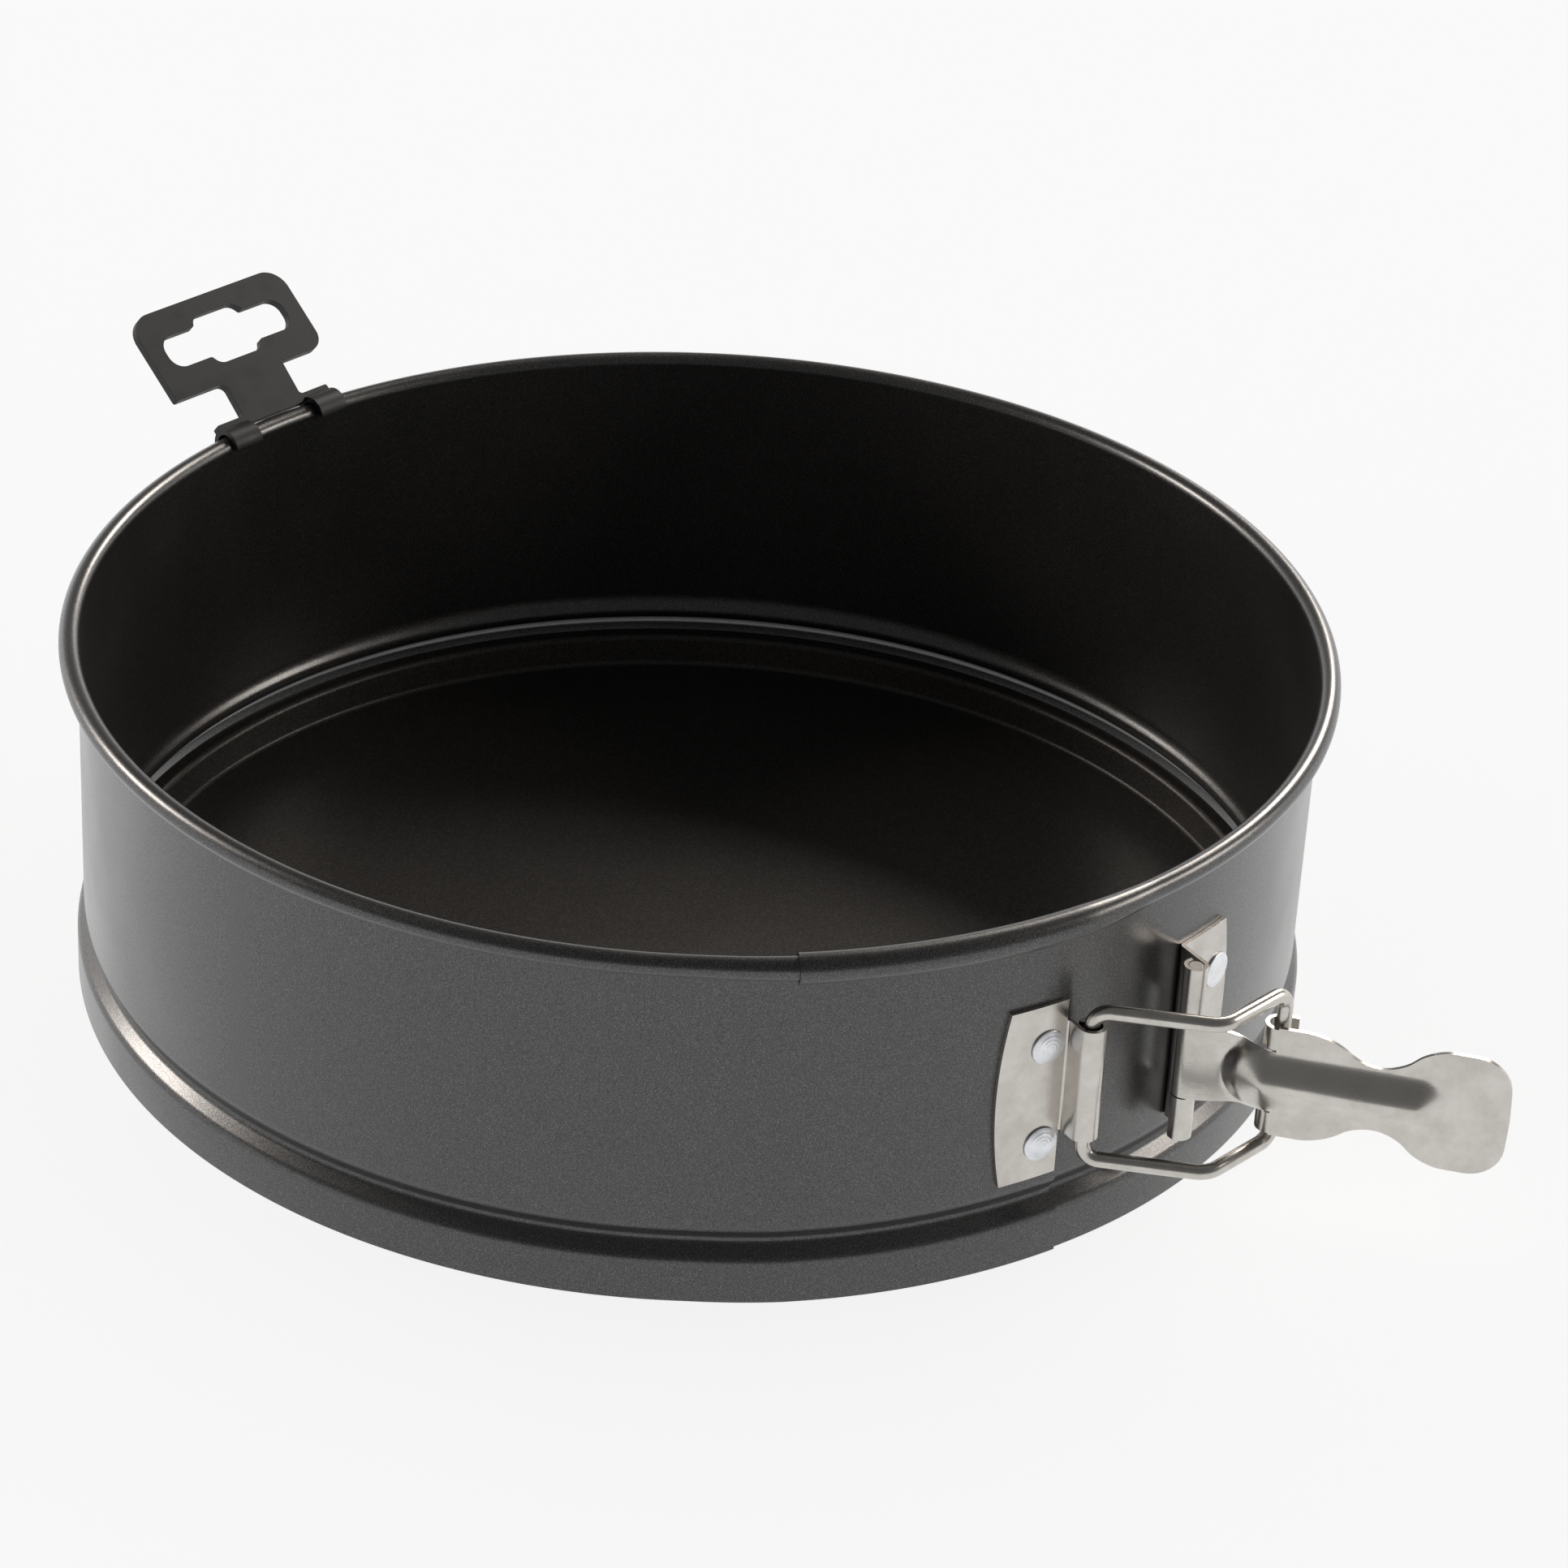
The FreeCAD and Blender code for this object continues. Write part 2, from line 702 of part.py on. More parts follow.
tag = new_body("hang_tag")
HEAD_LOW = 12.6
HEAD_TOP = 32.4
HEAD_HALF = 20.5
NECK_HALF = 7.9
STRIP_HALF = 15.2
STRIP_LOW = 2.7
STRIP_TOP = 4.6
tag_corners = [
    (Vector(-STRIP_HALF, STRIP_LOW, 0), 0),
    (Vector(STRIP_HALF, STRIP_LOW, 0), 0),
    (Vector(STRIP_HALF, STRIP_TOP, 0), 0.5),
    (Vector(NECK_HALF, STRIP_TOP, 0), 0.8),
    (Vector(NECK_HALF + 0.5, HEAD_LOW, 0), 0),
    (Vector(HEAD_HALF, HEAD_LOW, 0), 3.6),
    (Vector(HEAD_HALF, HEAD_TOP, 0), 5.0),
    (Vector(-HEAD_HALF, HEAD_TOP, 0), 5.0),
    (Vector(-HEAD_HALF, HEAD_LOW, 0), 0.5),
    (Vector(-NECK_HALF + 0.5, HEAD_LOW, 0), 1.6),
    (Vector(-NECK_HALF, STRIP_TOP, 0), 0.8),
    (Vector(-STRIP_HALF, STRIP_TOP, 0), 0.5),
]
tag_sketch = body_sketch(
    tag, "tag_plate", "XZ_Plane", closed_outline([p for p, _ in tag_corners], [r for _, r in tag_corners])
)
pad(tag, "tag_plate_pad", tag_sketch, "dims.tagThick", midplane=True)
SLOT_Z = 22.6
SLOT_HALF = 16.3
ARM = 3.7
BULGE = 5.8
shoulder_in = 5.6
shoulder_out = 6.6
slot_points = []
for sx, sz in ((1, 1), (-1, 1), (-1, -1), (1, -1)):
    ring = [
        (Vector(sx * SLOT_HALF, SLOT_Z + sz * ARM, 0), 3.2),
        (Vector(sx * shoulder_out, SLOT_Z + sz * ARM, 0), 0.8),
        (Vector(sx * shoulder_in, SLOT_Z + sz * BULGE, 0), 2.6),
    ]
    slot_points += ring if sx * sz > 0 else ring[::-1]
slot_sketch = body_sketch(
    tag, "tag_slot", "XZ_Plane", closed_outline([p for p, _ in slot_points], [r for _, r in slot_points])
)
pocket(tag, "tag_slot_cut", slot_sketch)
CLIP_IN = 2.55  # clears the rim's curve across the clip's width
CLIP_OUT = 3.6
clip_path = [arc(Vector(), (CLIP_IN + CLIP_OUT) / 2, -10, 222)]
for name, side in (("left", -1), ("right", 1)):
    middle = Placement(Vector(0, 0, side * dim("clipOffset")), Rotation())
    clip = body_sketch(
        tag, "clip_" + name, "YZ_Plane", thick_outline(clip_path, CLIP_OUT - CLIP_IN), middle
    )
    pad(tag, "clip_%s_pad" % name, clip, "dims.clipWidth", midplane=True)
rim_radius = dim("wallMid") + dim("curlMid")
clip_axis = math.sqrt(rim_radius ** 2 - dim("clipOffset") ** 2)
tag.Placement = Placement(Vector(0, clip_axis, dim("curlHeight")), Rotation(Vector(1, 0, 0), -dim("tagTilt")))

doc.recompute()

# ---- checks and export ----

NODES = [
    "side_band", "base_plate", "left_bracket", "left_rivet_upper", "left_rivet_lower",
    "right_bracket", "right_rivet_upper", "right_rivet_lower", "hinge_pin", "bail",
    "lever", "hang_tag",
]
for obj in doc.Objects:
    if "Invalid" in obj.State or "Error" in obj.State:
        raise RuntimeError("%s is %s" % (obj.Name, obj.State))
os.makedirs("parts", exist_ok=True)
for label in NODES:
    obj = doc.getObjectsByLabel(label)[0]
    shape = obj.Shape
    if shape.isNull() or not shape.isValid() or len(shape.Solids) != 1:
        raise RuntimeError("%s: valid %s, solids %d" % (label, shape.isValid(), len(shape.Solids)))
    box = shape.BoundBox
    print(
        "%-18s vol %9.1f  x %.1f..%.1f  y %.1f..%.1f  z %.1f..%.1f"
        % (label, shape.Volume, box.XMin, box.XMax, box.YMin, box.YMax, box.ZMin, box.ZMax)
    )
    shape.exportStep("parts/%s.step" % label)
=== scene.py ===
import json
import math

import bmesh
import bpy
from mathutils import Matrix, Vector

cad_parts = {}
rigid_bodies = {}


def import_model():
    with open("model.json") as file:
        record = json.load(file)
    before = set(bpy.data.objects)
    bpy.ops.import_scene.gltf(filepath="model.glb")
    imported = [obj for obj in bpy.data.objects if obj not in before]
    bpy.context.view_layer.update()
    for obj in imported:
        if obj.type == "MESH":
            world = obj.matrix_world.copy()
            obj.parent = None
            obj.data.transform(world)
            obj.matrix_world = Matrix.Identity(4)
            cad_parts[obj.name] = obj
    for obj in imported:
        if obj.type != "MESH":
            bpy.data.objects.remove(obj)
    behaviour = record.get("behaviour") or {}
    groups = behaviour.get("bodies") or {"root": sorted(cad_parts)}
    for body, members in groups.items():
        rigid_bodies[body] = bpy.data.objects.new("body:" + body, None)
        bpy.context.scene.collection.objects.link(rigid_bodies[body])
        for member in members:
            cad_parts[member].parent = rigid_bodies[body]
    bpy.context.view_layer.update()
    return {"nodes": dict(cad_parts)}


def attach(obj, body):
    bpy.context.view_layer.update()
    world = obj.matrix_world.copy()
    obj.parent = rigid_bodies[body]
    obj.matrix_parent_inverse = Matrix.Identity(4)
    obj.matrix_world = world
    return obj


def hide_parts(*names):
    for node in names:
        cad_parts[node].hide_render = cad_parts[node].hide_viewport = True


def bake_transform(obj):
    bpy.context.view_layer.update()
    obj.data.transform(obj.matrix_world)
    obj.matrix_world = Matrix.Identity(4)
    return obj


# Springform cake pan, 24 cm: +Z up, the hang tag at +Y and the latch near -Y.
# Pieces are given in millimetres; the camera, lamps, floor, blend points and relief depths in metres.

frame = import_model()
mm = 0.001

cameraSet = {
    "place": (-0.6297, -0.5770, 0.5327),
    "azimuth": -47.5,       # degrees round from the latch
    "elevation": 31.965,
    "pan": 0.0176,          # small turns of the camera on its stand, radians
    "tilt": -0.0329,
    "roll": -0.0439,
    "lens": 114.97,
    "sensor": 36.0,
    "clip": (0.05, 20),
}


def addCamera(values):
    height = math.radians(values["elevation"])
    back = Vector((0, -math.cos(height), math.sin(height)))
    right = Vector((1, 0, 0))
    up = back.cross(right)
    axes = Matrix((right, up, back))
    small = (
        Matrix.Rotation(values["roll"], 3, "Z")
        @ Matrix.Rotation(values["tilt"], 3, "X")
        @ Matrix.Rotation(values["pan"], 3, "Y")
    )
    turn = Matrix.Rotation(math.radians(values["azimuth"]), 3, "Z")
    facing = turn @ (small @ axes).transposed()
    data = bpy.data.cameras.new("studioCamera")
    data.lens = values["lens"]
    data.sensor_width = values["sensor"]
    data.clip_start, data.clip_end = values["clip"]
    camera = bpy.data.objects.new("studioCamera", data)
    bpy.context.scene.collection.objects.link(camera)
    camera.matrix_world = Matrix.Translation(values["place"]) @ facing.to_4x4()
    bpy.context.scene.camera = camera


addCamera(cameraSet)

lightSet = {
    "floorColor": (0.80, 0.80, 0.80),
    "floorGlow": 1.0,
    "floorHalf": 6,
    "floorDrop": 0.0002,      # clear of the pan's foot
    "floorRoughness": 0.9,
    # sky brightness from straight down to straight up
    "sky": [(0.0, 0.95), (0.50, 1.25), (0.58, 1.0), (0.68, 0.26), (0.80, 0.15), (1.0, 0.13)],
    "darkSide": (-0.737, -0.676, 0),  # the sky is dark from lower down on this side
    "darkShift": 0.20,
    # name: (place, aim, size, power)
    "lamps": {
        "backRight": ((0.95, 0.25, 0.70), (0, 0, 0.06), (0.35, 0.35), 9),
        "leftHigh": ((-0.45, 1.00, 0.60), (0, 0, 0.06), (0.35, 0.35), 9),
        "frontRight": ((0.85, -0.75, 0.60), (0, 0, 0.06), (0.35, 0.35), 5),
    },
    "lampColor": (1.0, 0.93, 0.86),
}


def addLamp(name, place, aim, size, power):
    data = bpy.data.lights.new(name, "AREA")
    data.shape = "RECTANGLE"
    data.size, data.size_y = size
    data.energy = power
    data.color = lightSet["lampColor"]
    lamp = bpy.data.objects.new(name, data)
    bpy.context.scene.collection.objects.link(lamp)
    direction = Vector(aim) - Vector(place)
    lamp.rotation_euler = direction.to_track_quat("-Z", "Y").to_euler()
    lamp.location = place
    return lamp


lamps = [addLamp(name, *values) for name, values in lightSet["lamps"].items()]


def addSky(values):
    world = bpy.data.worlds.new("studio")
    world.use_nodes = True
    nodes, links = world.node_tree.nodes, world.node_tree.links
    point = nodes.new("ShaderNodeTexCoord")
    split = nodes.new("ShaderNodeSeparateXYZ")
    height = nodes.new("ShaderNodeMapRange")
    height.inputs["From Min"].default_value = -1
    side = nodes.new("ShaderNodeVectorMath")
    side.operation = "DOT_PRODUCT"
    side.inputs[1].default_value = values["darkSide"]
    shift = nodes.new("ShaderNodeMapRange")
    shift.inputs["To Max"].default_value = values["darkShift"]
    total = nodes.new("ShaderNodeMath")
    levels = nodes.new("ShaderNodeValToRGB")
    stops = levels.color_ramp.elements
    while len(stops) < len(values["sky"]):
        stops.new(0.5)
    for stop, (position, level) in zip(stops, values["sky"]):
        stop.position = position
        stop.color = (level, level, level, 1)
    links.new(point.outputs["Generated"], split.inputs["Vector"])
    links.new(point.outputs["Generated"], side.inputs[0])
    links.new(side.outputs["Value"], shift.inputs["Value"])
    links.new(split.outputs["Z"], height.inputs["Value"])
    links.new(height.outputs["Result"], total.inputs[0])
    links.new(shift.outputs["Result"], total.inputs[1])
    links.new(total.outputs["Value"], levels.inputs["Fac"])
    links.new(levels.outputs["Color"], nodes["Background"].inputs["Color"])
    bpy.context.scene.world = world


addSky(lightSet)
bpy.context.scene.view_settings.view_transform = "Standard"
print("camera and lights set")


def newMaterial(name):
    material = bpy.data.materials.new(name)
    material.use_nodes = True
    nodes = material.node_tree.nodes
    return material, nodes, material.node_tree.links, nodes["Principled BSDF"]


def objectPoint(nodes, links, scale=(1, 1, 1)):
    coordinates = nodes.new("ShaderNodeTexCoord")
    mapping = nodes.new("ShaderNodeMapping")
    mapping.inputs["Scale"].default_value = scale
    links.new(coordinates.outputs["Object"], mapping.inputs["Vector"])
    return mapping.outputs["Vector"]


def noise(nodes, links, point, scale, detail=2.0, roughness=0.5):
    texture = nodes.new("ShaderNodeTexNoise")
    texture.inputs["Scale"].default_value = scale
    texture.inputs["Detail"].default_value = detail
    texture.inputs["Roughness"].default_value = roughness
    links.new(point, texture.inputs["Vector"])
    return texture.outputs["Fac"]


def ramp(nodes, links, value, stops):
    node = nodes.new("ShaderNodeValToRGB")
    elements = node.color_ramp.elements
    while len(elements) < len(stops):
        elements.new(0.5)
    for element, (position, color) in zip(elements, stops):
        element.position = position
        element.color = (*color, 1)
    links.new(value, node.inputs["Fac"])
    return node.outputs["Color"]


def spread(nodes, links, value, low, high, fromLow=0.3, fromHigh=0.7):
    node = nodes.new("ShaderNodeMapRange")
    node.inputs["From Min"].default_value = fromLow
    node.inputs["From Max"].default_value = fromHigh
    node.inputs["To Min"].default_value = low
    node.inputs["To Max"].default_value = high
    links.new(value, node.inputs["Value"])
    return node.outputs["Result"]


def bump(nodes, links, shader, heights):
    last = None
    for value, strength, distance in heights:
        node = nodes.new("ShaderNodeBump")
        node.inputs["Strength"].default_value = strength
        node.inputs["Distance"].default_value = distance
        links.new(value, node.inputs["Height"])
        if last is not None:
            links.new(last, node.inputs["Normal"])
        last = node.outputs["Normal"]
    links.new(last, shader.inputs["Normal"])


# fine flakes in a dark coating: many small facets, a few of them bright
coatingSet = {
    "dark": (0.034, 0.033, 0.033),
    "mid": (0.058, 0.057, 0.057),
    "bright": (0.150, 0.147, 0.145),
    "metallic": 0.80,
    "roughness": (0.30, 0.38),
    "ripple": 0.05,
    "specular": 0.5,
    "coat": 0.6,
    "coatRoughness": 0.24,
    "flakeScale": 4200,
    "flakeBump": 0.30,
}

coatingPattern = {
    "stops": (0.33, 0.50, 0.70),  # where the dark, mid and bright flakes lie
    "cloudScale": 45,
    "rippleScale": 30,
    "flakeDepth": 0.0001,
    "rippleDepth": 0.002,
}


def coatingMaterial(name, values):
    material, nodes, links, shader = newMaterial(name)
    point = objectPoint(nodes, links)
    flakes = noise(nodes, links, point, values["flakeScale"], 2.0, 0.7)
    tones = (values["dark"], values["mid"], values["bright"])
    colour = ramp(nodes, links, flakes, list(zip(coatingPattern["stops"], tones)))
    links.new(colour, shader.inputs["Base Color"])
    shader.inputs["Metallic"].default_value = values["metallic"]
    shader.inputs["Specular IOR Level"].default_value = values["specular"]
    shader.inputs["Coat Weight"].default_value = values["coat"]
    shader.inputs["Coat Roughness"].default_value = values["coatRoughness"]
    cloud = noise(nodes, links, point, coatingPattern["cloudScale"], 3.0)
    low, high = values["roughness"]
    links.new(spread(nodes, links, cloud, low, high), shader.inputs["Roughness"])
    ripple = noise(nodes, links, point, coatingPattern["rippleScale"], 1.0)
    bump(nodes, links, shader, [
        (flakes, values["flakeBump"], coatingPattern["flakeDepth"]),
        (ripple, values["ripple"], coatingPattern["rippleDepth"]),
    ])
    return material


baseSet = {
    "dark": (0.026, 0.024, 0.022),
    "mid": (0.038, 0.035, 0.033),
    "bright": (0.075, 0.070, 0.066),
    "metallic": 0.5,
    "roughness": (0.38, 0.44),
    "ripple": 0.0,
    "specular": 0.2,
    "coat": 0.12,
    "coatRoughness": 0.38,
    "flakeScale": 2200,
    "flakeBump": 0.18,
}

nickelSet = {
    "low": (0.50, 0.475, 0.44),
    "high": (0.61, 0.585, 0.55),
    "roughness": (0.22, 0.28),
}


nickelPattern = {
    "patchScale": 160,
    # scale, strength, depth of each layer of relief
    "grain": (2600, 0.08, 0.0001),
    "dents": (240, 0.07, 0.0002),
    "draw": (420, 0.04, 0.0002),
    "drawStretch": (1, 1, 9),
}


def nickelMaterial(name, values):
    material, nodes, links, shader = newMaterial(name)
    point = objectPoint(nodes, links)
    patches = noise(nodes, links, point, nickelPattern["patchScale"], 4.0, 0.65)
    colour = ramp(nodes, links, patches, [(0.30, values["low"]), (0.65, values["high"])])
    links.new(colour, shader.inputs["Base Color"])
    shader.inputs["Metallic"].default_value = 1.0
    low, high = values["roughness"]
    links.new(spread(nodes, links, patches, high, low), shader.inputs["Roughness"])
    along = objectPoint(nodes, links, nickelPattern["drawStretch"])
    relief = []
    for layer, start, rough in (("grain", point, 0.6), ("dents", point, 0.5), ("draw", along, 0.5)):
        scale, strength, depth = nickelPattern[layer]
        relief.append((noise(nodes, links, start, scale, 2.0, rough), strength, depth))
    bump(nodes, links, shader, relief)
    return material


rivetSet = {
    "low": (0.62, 0.64, 0.67),
    "high": (0.86, 0.87, 0.89),
    "roughness": (0.30, 0.48),
}

tagSet = {
    "low": (0.006, 0.006, 0.0065),
    "high": (0.010, 0.010, 0.0105),
    "roughness": (0.42, 0.55),
    "specular": 0.35,
    "cloudScale": 220,
    "grain": (3200, 0.14, 0.0001),  # scale, strength, depth
}


def tagMaterial(name, values):
    material, nodes, links, shader = newMaterial(name)
    point = objectPoint(nodes, links)
    cloud = noise(nodes, links, point, values["cloudScale"], 3.0)
    colour = ramp(nodes, links, cloud, [(0.35, values["low"]), (0.65, values["high"])])
    links.new(colour, shader.inputs["Base Color"])
    low, high = values["roughness"]
    links.new(spread(nodes, links, cloud, low, high), shader.inputs["Roughness"])
    shader.inputs["Specular IOR Level"].default_value = values["specular"]
    scale, strength, depth = values["grain"]
    grain = noise(nodes, links, point, scale, 2.0, 0.6)
    bump(nodes, links, shader, [(grain, strength, depth)])
    return material


bandCoating = coatingMaterial("bandCoating", coatingSet)
baseCoating = coatingMaterial("baseCoating", baseSet)
nickel = nickelMaterial("nickel", nickelSet)
rivetMetal = nickelMaterial("rivetMetal", rivetSet)
tagPlastic = tagMaterial("tagPlastic", tagSet)
print("materials made")


def addPiece(name, mesh, material, body, nodeNames):
    piece = bpy.data.objects.new(name, mesh)
    bpy.context.scene.collection.objects.link(piece)
    piece.data.materials.clear()
    piece.data.materials.append(material)
    if body:
        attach(piece, body)
    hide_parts(*nodeNames)
    return piece


def startChain(bm, points):
    verts = [bm.verts.new(Vector(p) * mm) for p in points]
    for a, b in zip(verts, verts[1:]):
        bm.edges.new((a, b))
    return verts


def roundCorner(bm, vert, size, segments=6):
    bmesh.ops.bevel(
        bm, geom=[vert], offset=size * mm, offset_type="OFFSET", segments=segments,
        profile=0.5, affect="VERTICES", material=-1,
    )


def finishMesh(bm, name, degrees=35):
    limit = math.radians(degrees)
    for edge in bm.edges:
        edge.smooth = len(edge.link_faces) == 2 and edge.calc_face_angle(0) < limit
    for face in bm.faces:
        face.smooth = True
    mesh = bpy.data.meshes.new(name)
    bm.to_mesh(mesh)
    bm.free()
    return mesh


def addSheet(piece, gauge):
    sheet = piece.modifiers.new("sheet", "SOLIDIFY")
    sheet.thickness = gauge * mm
    sheet.offset = 0
    sheet.use_even_offset = True


def breakEdges(piece, edge, degrees=40):
    broken = piece.modifiers.new("brokenEdges", "BEVEL")
    broken.width = edge * mm
    broken.segments = 2
    broken.limit_method = "ANGLE"
    broken.angle_limit = math.radians(degrees)
    broken.harden_normals = True


# the side band: one rolled strip whose left end laps over its right end
bandSet = {
    "wall": 119.75,          # middle of the sheet
    "gauge": 0.5,
    "profile": [(121.15, 0.0), (121.15, 8.9), (117.65, 11.7), (119.75, 14.6), (119.75, 71.3)],
    "corners": [0.9, 1.6, 1.4],
    "curlRadius": 1.8,
    "curlHeight": 71.3,
    "curlTurn": 310,         # how far the rim is rolled over
    "lapCurl": 2.0,
    "wrapCurl": 2.6,
    "lapTurn": 302,
    "wrapTurn": 285,
    "start": -128.5,         # right end, inside the lap
    "lapEdge": -102.8,       # left end, outside the lap
    "jogFrom": -136.5,
    "jogTo": -128.5,
    "wrapEnd": -95.0,
    "split": 137.5,          # the two sheets meet here, away from the latch
    "curlSteps": 34,
    "ringSteps": 330,
    "lapSteps": 150,
    "blendFrom": (0, 0.0795, 0.036),
    "blendTo": (0, -0.0800, 0.036),
}


def bandProfile(bm, values):
    verts = startChain(bm, [(r, 0, z) for r, z in values["profile"]])
    centre = Vector((values["wall"] + values["curlRadius"], 0, values["curlHeight"])) * mm
    bmesh.ops.spin(
        bm, geom=[verts[-1]], cent=centre, axis=(0, 1, 0),
        angle=math.radians(values["curlTurn"]), steps=values["curlSteps"], use_duplicate=False,
    )
    for vert, size in zip(verts[1:4], values["corners"]):
        roundCorner(bm, vert, size)


def spunBand(bm, values, fromAngle, toAngle, steps):
    bandProfile(bm, values)
    turn = Matrix.Rotation(math.radians(fromAngle), 3, "Z")
    bmesh.ops.rotate(bm, verts=bm.verts[:], cent=(0, 0, 0), matrix=turn)
    bmesh.ops.spin(
        bm, geom=bm.verts[:] + bm.edges[:], cent=(0, 0, 0), axis=(0, 0, 1),
        angle=math.radians(toAngle - fromAngle), steps=steps, use_merge=False,
    )
    bmesh.ops.recalc_face_normals(bm, faces=bm.faces[:])


def reshapeCurl(vert, values, share, radius, centreRadius, turn):
    angle = math.atan2(vert.co.y, vert.co.x)
    r = math.hypot(vert.co.x, vert.co.y) / mm
    z = vert.co.z / mm
    height = values["curlHeight"]
    oldCentre = values["wall"] + values["curlRadius"]
    if z > height - 3 and math.hypot(r - oldCentre, z - height) < values["curlRadius"] + 0.1 and (
        z > height + 0.001 or r > values["wall"] + 0.05
    ):
        around = (180 - math.degrees(math.atan2(z - height, r - oldCentre))) % 360
        around *= 1 + (turn / values["curlTurn"] - 1) * share
        size = values["curlRadius"] + (radius - values["curlRadius"]) * share
        centre = oldCentre + (centreRadius - oldCentre) * share
        bearing = math.radians(180 - around)
        r = centre + size * math.cos(bearing)
        z = height + size * math.sin(bearing)
    else:
        shift = centreRadius - radius - values["wall"]
        r += shift * share
    vert.co = Vector((r * mm * math.cos(angle), r * mm * math.sin(angle), z * mm))


def addBand(values):
    # the ring: its right end lies inside the lap, and its curl opens to wrap the other end's curl
    bm = bmesh.new()
    first, last = values["start"], values["split"]
    spunBand(bm, values, first, last, values["ringSteps"])
    wrapCentre = values["wall"] + values["wrapCurl"]
    for vert in bm.verts:
        angle = math.degrees(math.atan2(vert.co.y, vert.co.x))
        if angle < values["wrapEnd"] - 0.001 and angle > first - 1:
            share = min(1, (values["wrapEnd"] - angle) / (values["wrapEnd"] - values["lapEdge"]))
            reshapeCurl(vert, values, share, values["wrapCurl"], wrapCentre, values["wrapTurn"])
    mesh = finishMesh(bm, "bandMain")
    ring = addPiece("bandMain", mesh, bandCoating, "ring", ["side_band"])
    # the left end: steps out and laps over the right end
    bm = bmesh.new()
    lapTo = values["lapEdge"] + 360
    spunBand(bm, values, last, lapTo, values["lapSteps"])
    for vert in bm.verts:
        angle = math.degrees(math.atan2(vert.co.y, vert.co.x)) % 360
        if angle > values["jogFrom"] + 360:
            jog = values["jogTo"] - values["jogFrom"]
            share = min(1, (angle - values["jogFrom"] - 360) / jog)
            reshapeCurl(vert, values, share, values["lapCurl"], wrapCentre, values["lapTurn"])
    mesh = finishMesh(bm, "bandLap")
    lap = addPiece("bandLap", mesh, bandCoating, None, ["side_band"])
    for piece in (ring, lap):
        addSheet(piece, values["gauge"])
    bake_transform(lap)


addBand(bandSet)
print("side band made")


# the base: a shallow pressed dish whose flange lies inside the band's foot
basePlateSet = {
    "gauge": 0.6,
    "profile": [(0, 0.3), (115.7, 0.3), (116.9, 6.7), (119.95, 6.7)],
    "corners": [1.2, 0.9],
    "flatCuts": 24,
    "steps": 240,
    "weld": 0.005,
}


def addBase(values):
    bm = bmesh.new()
    verts = startChain(bm, [(r, 0, z) for r, z in values["profile"]])
    for vert, size in zip(verts[1:3], values["corners"]):
        roundCorner(bm, vert, size)
    flat = [e for e in bm.edges if e.calc_length() > 0.05]
    bmesh.ops.subdivide_edges(bm, edges=flat, cuts=values["flatCuts"])
    bmesh.ops.spin(
        bm, geom=bm.verts[:] + bm.edges[:], cent=(0, 0, 0), axis=(0, 0, 1),
        angle=math.tau, steps=values["steps"], use_merge=True,
    )
    bmesh.ops.remove_doubles(bm, verts=bm.verts[:], dist=values["weld"] * mm)
    bmesh.ops.recalc_face_normals(bm, faces=bm.faces[:])
    mesh = finishMesh(bm, "basePlate")
    plate = addPiece("basePlate", mesh, baseCoating, "base", ["base_plate"])
    addSheet(plate, values["gauge"])


addBase(basePlateSet)
print("base made")


# brackets, pin, bail and tag: the frame's own shapes with their edges broken
edgeSet = {
    # node: (piece name, body, edge size, material, slot)
    "left_bracket": ("leftBracket", "lap_end", 0.12, nickel, "nickel"),
    "right_bracket": ("rightBracket", "ring", 0.12, nickel, "nickel"),
    "hinge_pin": ("hingePin", "ring", 0.15, nickel, "nickel"),
    "bail": ("bailWire", "bail", 0.0, nickel, "nickel"),
    "hang_tag": ("hangTag", "hang_tag", 0.22, tagPlastic, "tag_plastic"),
}


def addEdged(node, name, body, edge, material, slotName):
    bm = bmesh.new()
    bm.from_mesh(frame["nodes"][node].data)
    bmesh.ops.remove_doubles(bm, verts=bm.verts[:], dist=0.000002)
    bmesh.ops.dissolve_limit(
        bm, angle_limit=math.radians(0.4), verts=bm.verts[:], edges=bm.edges[:],
    )
    mesh = finishMesh(bm, name, 32)
    piece = addPiece(name, mesh, material, body, [node])
    if edge:
        breakEdges(piece, edge)


for node, values in edgeSet.items():
    addEdged(node, *values)
print("brackets, pin, bail and tag made")


# rivets: low domed heads with turned rings
rivetShape = {
    "head": 3.48,
    "rim": 0.32,
    "dome": 0.82,
    "shank": 1.55,
    "rings": 5,
    "ringDepth": 0.045,
    "clench": 2.7,
    "wallFace": 119.5,
    "tailDepth": 0.5,        # the clenched tail stands this far inside the wall
    "tailCrown": 0.1,
    "rimRound": 0.12,
    "steps": 40,
    "weld": 0.004,
    # node: (piece name, body, angle, height, seat radius, tail radius)
    "places": {
        "left_rivet_upper": ("leftRivetUpper", "lap_end", -105.15, 45.6, 121.48, 120.16),
        "left_rivet_lower": ("leftRivetLower", "lap_end", -105.15, 24.8, 121.48, 120.16),
        "right_rivet_upper": ("rightRivetUpper", "ring", -83.9, 44.2, 120.88, 119.46),
        "right_rivet_lower": ("rightRivetLower", "ring", -83.9, 24.8, 120.88, 119.46),
    },
}


